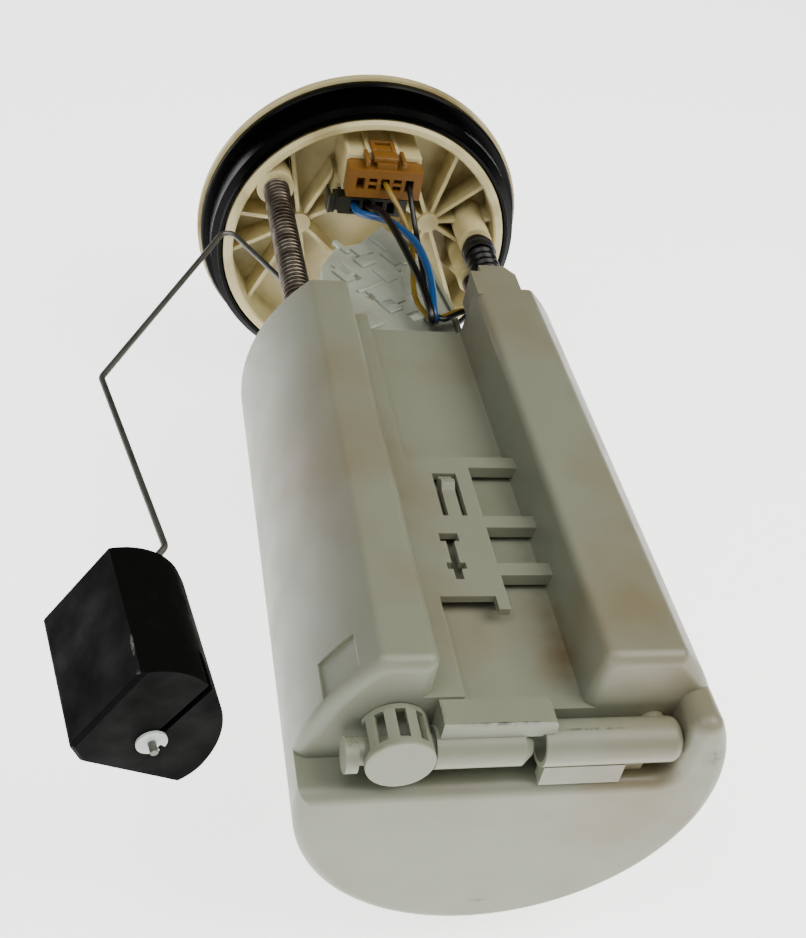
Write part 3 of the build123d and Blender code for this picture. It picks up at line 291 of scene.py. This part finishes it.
spring_wire = metal("spring_wire_drawn", "#665E54", "#3F372F", 0.30, 0.6, 0.6)
ground_steel = metal("steel_ground", "#B2B0AA", "#8A857B", 0.28, 0.4)
arm_steel = metal("stainless_wire_drawn", "#6A6963", "#5B5A55", 0.44, 0.5, 0.3)
brass = metal("brass_tinned", "#C6BD9F", "#9C8F66", 0.30, 0.4)
copper = metal("copper_wound", "#B06F3D", "#7E4A26", 0.35, 0.5)
print("metals", spring_wire.name, arm_steel.name)


# %% [markdown]
# Lead insulation is extruded PVC: smooth, slightly waxy and evenly coloured, with a little grime from
# handling. The filter paper and the strainer mesh inside the pot get a weave from two crossed waves, whose
# period comes out at about six times the thread it is given.

# %% Lead and filter finishes
WAVE_RATE = 20


def insulation(name, base, grime):
    """Extruded insulation with light grime."""
    material, tree, shader, place = new_material(name)
    handled = blotches(tree, place, 5.0, 4.0, 0.6, stops=[(0.5, BLACK), (0.8, grey(0.7))])
    shader.inputs["IOR"].default_value = 1.53
    surface(tree, shader, cover(tree, base, grime, handled), 0.3, blotches(tree, place, 1.5, 2.0), 0.02, 0.3)
    return material


def woven(name, base, shade, thread_mm):
    """A plain weave; a wave texture runs through WAVE_RATE radians in one unit of its scale."""
    material, tree, shader, place = new_material(name)
    settings = {"Vector": place, "Scale": 1 / (thread_mm * MM * WAVE_RATE)}
    warp = add_node(tree, "ShaderNodeTexWave", settings, bands_direction="X").outputs["Fac"]
    weft = add_node(tree, "ShaderNodeTexWave", settings, bands_direction="Z").outputs["Fac"]
    weave = add_node(tree, "ShaderNodeMath", {0: warp, 1: weft}, operation="MULTIPLY").outputs[0]
    surface(tree, shader, cover(tree, shade, base, weave), 0.75, weave, 0.15, 0.6)
    return material


yellow_skin = insulation("yellow_pvc_extruded", "#80661A", "#5E4C1C")
black_skin = insulation("black_pvc_extruded", "#0B0A08", "#191814")
blue_skin = insulation("blue_pvc_extruded", "#114477", "#12304A")
paper = woven("filter_paper_pleated", "#CDBD92", "#A8946A", 0.6)
mesh_cloth = woven("nylon_mesh_woven", "#D5D4CB", "#8E8D84", 0.5)
card_print = insulation("ceramic_card_printed", "#3D4A3E", "#22261F")
washer_white = moulded_acetal("white_nylon_punched", "#BFC6C0", "#A9AFA8", 0.15, 0.4, 8.0)
print("leads", yellow_skin.name, blue_skin.name)


# %% [markdown]
# Each solid already has the right shape, so dressing it is a matter of putting one material in its slot. The
# table reads like a parts list: what it is made of, and which pieces are.

# %% Dress the solids
dressing = {
    milky: ["reservoir_pot", "jet_filter_cap", "jet_barrel", "jet_clamp", "mixing_tube", "head_side_plate"],
    cream: ["tank_flange"],
    white: ["head_cover", "filter_case", "filter_lid", "sender_frame", "sender_rotor"],
    rubber: ["flange_seal", "pump_seal", "pump_cushion"],
    foam: ["float_body"],
    black_plug: ["sender_plug", "pump_inlet_cap", "pump_outlet_cap", "impeller"],
    orange_plug: ["pump_plug"],
    hose_black: ["fuel_hose"],
    ferrite: ["pump_magnets"],
    spring_wire: ["spring_left", "spring_right", "regulator_spring", "rod_clips"],
    clip_black: ["hose_clip_upper", "hose_clip_lower"],
    ground_steel: [
        "guide_rod_left",
        "guide_rod_right",
        "regulator_body",
        "regulator_valve",
        "pump_case",
        "rotor_shaft",
    ],
    arm_steel: ["float_arm"],
    brass: ["terminal_pins", "wiper_contacts"],
    copper: ["armature"],
    yellow_skin: ["wire_yellow"],
    black_skin: ["wire_black_pump", "wire_black_sender"],
    blue_skin: ["wire_blue"],
    paper: ["filter_element"],
    mesh_cloth: ["inlet_strainer"],
    card_print: ["resistor_card"],
    washer_white: ["float_washer"],
}
for material, names in dressing.items():
    for name in names:
        slots = nodes[name].data.materials
        slots.clear()
        slots.append(material)
dressed = {name for names in dressing.values() for name in names}
print("not dressed:", sorted(set(nodes) - dressed))


# %% [markdown]
# Some pieces are better as fine meshes: a spring needs a smooth helix, and a hose and leads need smooth
# bends. Each is modelled here from a simple shape and replaces its solid; the springs and the crimp follow
# the same bodies. Two small helpers do what every such piece needs.

# %% Modelling helpers
def only(obj):
    """Select one object and nothing else."""
    bpy.ops.object.select_all(action="DESELECT")
    obj.select_set(True)
    bpy.context.view_layer.objects.active = obj
    return obj


def settle(obj, name, material, angle=35):
    """Freeze the place, name the piece, give it its finish and smooth its soft edges."""
    only(obj)
    bpy.ops.object.transform_apply(location=True, rotation=True, scale=True)
    obj.name = name
    obj.data.name = name
    obj.data.materials.clear()
    obj.data.materials.append(material)
    bpy.ops.object.shade_smooth_by_angle(angle=math.radians(angle))
    return obj


def turned_piece(name, profile, at, material, steps=56):
    """Draw a closed profile of radius and height pairs, in millimetres, and spin it round an upright axis."""
    bpy.ops.object.select_all(action="DESELECT")
    radius, height = profile[0]
    bpy.ops.mesh.primitive_plane_add(size=MM, location=(radius * MM, 0, height * MM))
    obj = only(bpy.context.object)
    bpy.ops.object.transform_apply(location=True, rotation=True, scale=True)
    bpy.ops.object.mode_set(mode="EDIT")
    bpy.ops.mesh.select_all(action="SELECT")
    bpy.ops.mesh.merge(type="CENTER")
    for (from_r, from_z), (to_r, to_z) in zip(profile, profile[1:] + profile[:1]):
        step = ((to_r - from_r) * MM, 0, (to_z - from_z) * MM)
        bpy.ops.mesh.extrude_vertices_move(TRANSFORM_OT_translate={"value": step})
    bpy.ops.mesh.select_all(action="SELECT")
    bpy.ops.mesh.remove_doubles(threshold=0.000002)
    bpy.ops.mesh.spin(steps=steps, angle=math.tau, center=(0, 0, 0), axis=(0, 0, 1))
    bpy.ops.mesh.select_all(action="SELECT")
    bpy.ops.mesh.remove_doubles(threshold=0.000002)
    bpy.ops.mesh.normals_make_consistent(inside=False)
    bpy.ops.object.mode_set(mode="OBJECT")
    obj.location = (at[0] * MM, at[1] * MM, 0)
    return settle(obj, name, material)


# %% [markdown]
# A compression spring is a wire circle swept up a helix. The Screw modifier does that: the circle stands off
# the axis by the coil radius, climbs one pitch each turn, and is then applied. The two springs round the rods
# ride on the flange, and a small one sits in the regulator on the pot.

# %% Springs
SPRING_WIRE = 1.25
SPRING_PITCH = 2.45
POT_TRAVEL = 10.0
VALVE_SPRING_WIRE = 0.8
VALVE_SPRING_PITCH = 2.2
VALVE_LIFT = 1.2


def coil_spring(name, solid, wire, pitch, body, joint, travel):
    """A helix of round wire between the ends of its solid, riding on its body; the joint is not used."""
    low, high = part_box(solid)
    middle = (low + high) / 2
    height = high.z - low.z - wire * MM
    coils = round(height / (pitch * MM))
    stand = (high.x - low.x) / 2 - wire / 2 * MM
    upright = (math.pi / 2, 0, 0)
    round_r = wire / 2 * MM
    bpy.ops.mesh.primitive_circle_add(vertices=10, radius=round_r, location=(stand, 0, 0), rotation=upright)
    obj = only(bpy.context.object)
    bpy.ops.object.transform_apply(location=True, rotation=True, scale=True)
    screw = obj.modifiers.new("helix", "SCREW")
    screw.screw_offset = height / coils
    screw.iterations = coils
    screw.steps = screw.render_steps = 30
    bpy.context.scene.cursor.location = (0, 0, 0)
    bpy.ops.object.modifier_apply(modifier=screw.name)
    bpy.ops.object.mode_set(mode="EDIT")
    bpy.ops.mesh.select_all(action="SELECT")
    bpy.ops.mesh.fill_holes(sides=12)
    bpy.ops.mesh.select_all(action="SELECT")
    bpy.ops.mesh.normals_make_consistent(inside=False)
    bpy.ops.object.mode_set(mode="OBJECT")
    obj.location = (middle.x, middle.y, low.z + wire / 2 * MM)
    settle(obj, name, spring_wire)
    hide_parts(solid)
    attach(obj, body)
    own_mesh(obj)
    print(name, coils, "coils", len(obj.data.polygons), "faces")


wide = (SPRING_WIRE, SPRING_PITCH)
small = (VALVE_SPRING_WIRE, VALVE_SPRING_PITCH)
coil_spring("coil_left", "spring_left", *wide, "flange", "pot_slide", POT_TRAVEL)
coil_spring("coil_right", "spring_right", *wide, "flange", "pot_slide", POT_TRAVEL)
coil_spring("coil_regulator", "regulator_spring", *small, "pot", "regulator_lift", VALVE_LIFT)


# %% [markdown]
# The hose is corrugated nylon. Its wall goes out and in every few millimetres, so one closed profile with
# rounded crests, spun round the hose's axis, makes it. The crimp that holds it on its boss is a black steel
# band with two rounded beads.

# %% Corrugated hose
HOSE_AT = (45.5, -10.0)
HOSE_RADIUS = 6.25
HOSE_BORE = 4.2
RIB_PITCH = 4.2
RIB_DEPTH = 1.25
RIB_RISES = ((0.10, 0.75), (0.22, 1.0), (0.38, 1.0), (0.52, 0.7))
RIB_FALLS = ((0.64, 0.15), (0.80, 0.0), (0.92, 0.1), (1.0, 0.4))
HOSE_CUFF = 11.0


def corrugated_hose():
    """Plain cuff at the foot, then rounded ribs up to the boss."""
    low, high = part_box("fuel_hose")
    bottom, top = low.z / MM, high.z / MM
    ribs = round((top - bottom - HOSE_CUFF) / RIB_PITCH)
    pitch = (top - bottom - HOSE_CUFF) / ribs
    wall = [(HOSE_RADIUS, bottom), (HOSE_RADIUS, bottom + HOSE_CUFF)]
    for rib in range(ribs):
        base = bottom + HOSE_CUFF + rib * pitch
        for along, out in RIB_RISES + RIB_FALLS:
            wall.append((HOSE_RADIUS - RIB_DEPTH * (1 - out), base + along * pitch))
    wall.pop()
    inner = [(HOSE_BORE, wall[-1][1]), (HOSE_BORE, bottom)]
    obj = turned_piece("hose_corrugated", wall + inner, HOSE_AT, hose_black)
    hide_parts("fuel_hose")
    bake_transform(obj)
    print("hose ribs", ribs)


corrugated_hose()


CRIMP_INNER = HOSE_RADIUS + 0.02
BEAD_SHAPE = ((0.1, 0.0), (0.7, 0.4), (0.85, 1.0), (0.7, 1.7), (0.1, 2.2))
BEAD_STARTS = (0.1, 3.6)

crimp_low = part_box("hose_clip_upper")[0].z / MM
crimp_wall = [(HOSE_RADIUS + out, crimp_low + start + up) for start in BEAD_STARTS for out, up in BEAD_SHAPE]
crimp_wall += [(CRIMP_INNER, crimp_wall[-1][1]), (CRIMP_INNER, crimp_wall[0][1])]
crimp = turned_piece("hose_crimp_upper", crimp_wall, HOSE_AT, clip_black)
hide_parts("hose_clip_upper")
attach(crimp, "flange")
print("crimp", len(crimp.data.polygons), "faces")


# %% [markdown]
# A lead is a soft curve, led by a few points near where it is seen to pass, with a round section. It starts
# in its cavity in the plug and ends at the head or the pot.

# %% Leads
THIN_LEAD = 1.1
THICK_LEAD = 1.5


def soft_lead(name, solid, radius, route, material):
    """A smooth round lead along its route, in millimetres, turned into a mesh."""
    curve = bpy.data.curves.new(name, "CURVE")
    curve.dimensions = "3D"
    line = curve.splines.new("NURBS")
    line.points.add(len(route) - 1)
    for point, place in zip(line.points, route):
        point.co = (*[c * MM for c in place], 1)
    line.order_u = 3
    line.use_endpoint_u = True
    curve.resolution_u = 8
    curve.bevel_depth = radius * MM
    curve.bevel_resolution = 4
    curve.use_fill_caps = True
    obj = bpy.data.objects.new(name, curve)
    bpy.context.scene.collection.objects.link(obj)
    only(obj)
    bpy.ops.object.convert(target="MESH")
    obj = settle(bpy.context.object, name, material, 60)
    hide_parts(solid)
    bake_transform(obj)
    print(name, len(obj.data.polygons), "faces")


yellow_way = [
    (0, -39, -22.7), (0.6, -38.8, -28.5), (3.6, -35.8, -33.5), (6.8, -31.6, -38.5),
    (9.8, -27.2, -46), (8.4, -24.4, -60), (6.2, -23.4, -73), (5, -23.2, -86),
    (9.4, -23.4, -98), (17.2, -23.8, -92.4), (25, -23.6, -88.8), (31, -20.5, -92),
    (31, -12, -98), (30.8, -11.8, -103.8),
]
black_way = [
    (10, -39, -22.7), (10.1, -38.4, -29), (10.8, -33, -37), (12.2, -26.6, -46.5),
    (11.2, -25.8, -62), (8.8, -26, -85), (10.4, -26.2, -102), (18.4, -26.4, -96),
    (26, -26.2, -92), (33.6, -22.5, -95.5), (33.8, -12.4, -100), (34, -12.2, -103.8),
]
blue_way = [
    (-9.5, -25.3, -17.2), (-10.4, -25.6, -26.4), (-6.4, -27, -31.4), (0.2, -27.6, -34),
    (5.2, -28.6, -41), (10, -30.2, -55), (11, -30.4, -71), (10.3, -30.2, -86),
    (8.8, -28.6, -97), (9.6, -25.5, -100), (11.2, -21.5, -94), (12.4, -17.2, -86),
]
thick_way = [
    (-4.5, -25.3, -17.2), (-4.3, -26.4, -24.5), (-2, -31, -32.5), (0.6, -31.6, -42),
    (3, -31.2, -56), (4.9, -31, -71.5), (6.4, -30.8, -86), (7.4, -28.8, -98),
    (8.2, -25.5, -101), (9.6, -21.5, -95), (10.6, -17.2, -87),
]
soft_lead("lead_yellow", "wire_yellow", THIN_LEAD, yellow_way, yellow_skin)
soft_lead("lead_black_pump", "wire_black_pump", THIN_LEAD, black_way, black_skin)
soft_lead("lead_blue", "wire_blue", THICK_LEAD, blue_way, blue_skin)
soft_lead("lead_black_sender", "wire_black_sender", THICK_LEAD, thick_way, black_skin)


# %% [markdown]
# Small moulded details sit on the solids: rails on the socket, the plug's latch hook and guard ribs, bars
# across two empty cavities, the black plug's ear, and raised pads on the head. Each is a box with its edges
# bevelled, and the ones that make up one moulding are joined into one piece.

# %% Bevelled boxes
def soft_box(low, high, edge=0.3, lean=0.0):
    """A box between two corners in millimetres, bevelled, and leaned about Y through its middle."""
    middle = [(a + b) / 2 * MM for a, b in zip(low, high)]
    bpy.ops.mesh.primitive_cube_add(size=1, location=middle)
    obj = only(bpy.context.object)
    obj.scale = [abs(b - a) * MM for a, b in zip(low, high)]
    obj.rotation_euler = (0, math.radians(lean), 0)
    bpy.ops.object.transform_apply(location=False, rotation=False, scale=True)
    bevel = obj.modifiers.new("edges", "BEVEL")
    bevel.width = edge * MM
    bevel.segments = 3
    bpy.ops.object.modifier_apply(modifier=bevel.name)
    return obj


def joined(name, parts, material, body):
    """Join boxes into one piece that rides on a body."""
    bpy.ops.object.select_all(action="DESELECT")
    for part in parts:
        part.select_set(True)
    bpy.context.view_layer.objects.active = parts[0]
    bpy.ops.object.join()
    obj = settle(bpy.context.object, name, material)
    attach(obj, body)


# %% Socket rails and plug latch
SOCKET_FRONT = -47.0


def front_box(x_low, x_high, depth, back, z_low, z_high, edge=0.3):
    """A soft box on the socket's front, standing out by depth and reaching back into it."""
    return soft_box((x_low, SOCKET_FRONT - depth, z_low), (x_high, SOCKET_FRONT + back, z_high), edge)


rails = [front_box(x - 1.1, x + 1.1, 1.6, 0.2, -18.4, 3.5) for x in (-6.2, 5.2)]
rails.append(front_box(-5.2, 4.2, 0.7, 0.2, -6.5, 3.5))
rails.append(front_box(-15.4, -13.6, 0.9, 0.2, -18.9, 3.5))
joined("socket_rails", rails, cream, "flange")

latch = [front_box(-5.6, 4.4, 2.6, -0.4, -25.0, -18.6, 0.4)]
latch += [front_box(x - 1.0, x + 1.0, 2.8, -0.9, -19.2, -10.5, 0.4) for x in (-4.6, 3.4)]
latch.append(front_box(-5.6, 4.4, 3.0, -0.9, -12.4, -10.2, 0.5))
latch.append(front_box(-3.9, 2.7, 2.4, -1.7, -18.0, -14.2, 0.2))
guards = [front_box(x - 0.8, x + 0.8, 2.2, 0.4, -27.2, -17.6, 0.4) for x in (-8.0, 6.8)]
bars = [soft_box((x - 1.9, -39.5, -27.45), (x + 1.9, -38.5, -24.0), 0.1) for x in (-5.0, 5.0)]
joined("plug_latch", latch + guards + bars, orange_plug, "flange")

ear = [soft_box((-20.4, -29.0, -21.6), (-17.6, -21.4, -19.4))]
ear.append(soft_box((-20.6, -29.4, -21.8), (-19.3, -21.2, -13.0)))
joined("plug_ear", ear, black_plug, "flange")
print("boxes in the socket's trim", len(rails + latch + guards + bars + ear))


# %% [markdown]
# The head's front is a moulding with shallow pads, set square to its slope. The float's wire sweeps past
# close in front of them, so none stands out by more than 1.2 mm.

# %% Head relief
HEAD_FRONT = -17.0
HEAD_LEAN = -32.0
ROOT_DEPTH = 0.8


def head_pad(x, z, wide, high, rise, edge):
    """A raised pad on the head's front, in line with its sloping features."""
    low = (x - wide / 2, HEAD_FRONT - rise, z - high / 2)
    return soft_box(low, (x + wide / 2, HEAD_FRONT + ROOT_DEPTH, z + high / 2), edge, HEAD_LEAN)


relief = [
    head_pad(-16.6, -41.0, 2.2, 9.5, 1.2, 0.6),
    head_pad(-8.2, -50.0, 8.0, 6.5, 1.1, 0.9),
    head_pad(5.6, -40.0, 9.5, 22.0, 1.1, 0.9),
    head_pad(-1.4, -58.5, 6.0, 9.5, 0.9, 0.8),
    head_pad(-18.0, -57.0, 5.0, 10.0, 1.0, 0.8),
    head_pad(-9.0, -68.0, 13.0, 2.4, 0.9, 0.7),
    head_pad(-2.8, -80.0, 6.6, 8.0, 1.0, 0.8),
    head_pad(-12.6, -90.0, 7.5, 10.0, 1.2, 0.9),
]
joined("head_relief", relief, white, "pot")
print("head pads", len(relief))


# %% [markdown]
# The view is from below the pot, looking up along it to the flange, so the camera is placed by its own three
# axes. The floor is the pale surface that the module lies on, behind it in this view. It glows, so that it
# stays pale in the object's shade. It is one-sided: from behind, it lets the view through.

# %% Camera
CAMERA_AT = Vector((-126.76, -317.35, -508.08)) * MM
VIEW_RIGHT = Vector((0.9701, -0.1726, -0.1709))
VIEW_DOWN = Vector((0.0140, 0.7421, -0.6701))
VIEW_AHEAD = Vector((0.2425, 0.6476, 0.7223))
FOCAL_PIXELS = 1393.3
FRAME_HEIGHT = 938
SENSOR_MM = 36.0

camera_data = bpy.data.cameras.new("view_from_below")
camera = bpy.data.objects.new("view_from_below", camera_data)
bpy.context.scene.collection.objects.link(camera)
turn = Matrix((VIEW_RIGHT, -VIEW_DOWN, -VIEW_AHEAD)).transposed()
camera.matrix_world = Matrix.Translation(CAMERA_AT) @ turn.to_4x4()
camera_data.sensor_fit = "VERTICAL"
camera_data.sensor_height = SENSOR_MM
camera_data.lens = FOCAL_PIXELS / FRAME_HEIGHT * SENSOR_MM
camera_data.clip_start = 0.01
camera_data.clip_end = 20.0
bpy.context.scene.camera = camera
print("lens", round(camera_data.lens, 2), "mm")


# %% Floor
FLOOR_SIZE = 6.0
FLOOR_BEHIND = 75.0
FLOOR_GLOW = 2.4


def pale_floor():
    """A pale matt surface behind the object, invisible from its back."""
    upright = (math.pi / 2, 0, 0)
    bpy.ops.mesh.primitive_plane_add(size=FLOOR_SIZE, location=(0, FLOOR_BEHIND * MM, 0), rotation=upright)
    floor = bpy.context.object
    floor.name = "pale_floor"
    material, tree, shader, _ = new_material("floor_paper_matt")
    shader.inputs["Base Color"].default_value = hex_colour("#FBFBFA")
    shader.inputs["Roughness"].default_value = 0.9
    shader.inputs["Emission Color"].default_value = hex_colour("#FFFFFF")
    shader.inputs["Emission Strength"].default_value = FLOOR_GLOW
    clear = add_node(tree, "ShaderNodeBsdfTransparent")
    facing = add_node(tree, "ShaderNodeNewGeometry").outputs["Backfacing"]
    both = add_node(tree, "ShaderNodeMixShader", {0: facing, 1: shader.outputs[0], 2: clear.outputs[0]})
    output = [n for n in tree.nodes if n.type == "OUTPUT_MATERIAL"][0]
    tree.links.new(both.outputs[0], output.inputs["Surface"])
    floor.data.materials.append(material)
    return floor


print("floor", pale_floor().name)


# %% [markdown]
# A studio for plastic parts uses big soft panels. The key panel stands in front on the right, a weaker one in
# front on the left keeps the channel's walls from going dark, and a small one near the module reaches in
# between the pot and the flange. The air is bright below and dark above, so the pot's base is the brightest.

# %% Lights
def panel(name, at, aim, size, power, tint):
    """A square area light at a place, aimed at a point."""
    light = bpy.data.lights.new(name, "AREA")
    light.size = size
    light.energy = power
    light.color = hex_colour(tint)[:3]
    holder = bpy.data.objects.new(name, light)
    bpy.context.scene.collection.objects.link(holder)
    holder.location = at
    direction = Vector(aim) - Vector(at)
    holder.rotation_euler = direction.to_track_quat("-Z", "Y").to_euler()
    return holder


AIR_STRENGTH = 0.62
AIR_STOPS = [(0.30, hex_colour("#B0B2B4")), (0.70, hex_colour("#2E3033"))]
middle = Vector((0, 0, -0.15))
panel("key_panel", (0.60, -1.00, -0.42), middle, 0.8, 15.0, "#FFFCF4")
panel("fill_panel", (-0.60, -0.88, -0.52), middle, 0.7, 5.0, "#F6F8FF")
panel("flange_panel", (-0.08, -0.52, -0.28), (0, 0, -0.02), 0.3, 0.8, "#FFFAF0")

world = bpy.data.worlds.new("studio_air")
world.use_nodes = True
air = world.node_tree
background = air.nodes["Background"]
toward = add_node(air, "ShaderNodeTexCoord").outputs["Generated"]
height = add_node(air, "ShaderNodeSeparateXYZ", {"Vector": toward}).outputs["Z"]
share = add_node(air, "ShaderNodeMath", {0: height, 1: 0.5, 2: 0.5}, operation="MULTIPLY_ADD").outputs[0]
shade = add_node(air, "ShaderNodeValToRGB", {"Fac": share}, AIR_STOPS).outputs["Color"]
air.links.new(shade, background.inputs["Color"])
background.inputs["Strength"].default_value = AIR_STRENGTH
bpy.context.scene.world = world
print("lights", len(bpy.data.lights))
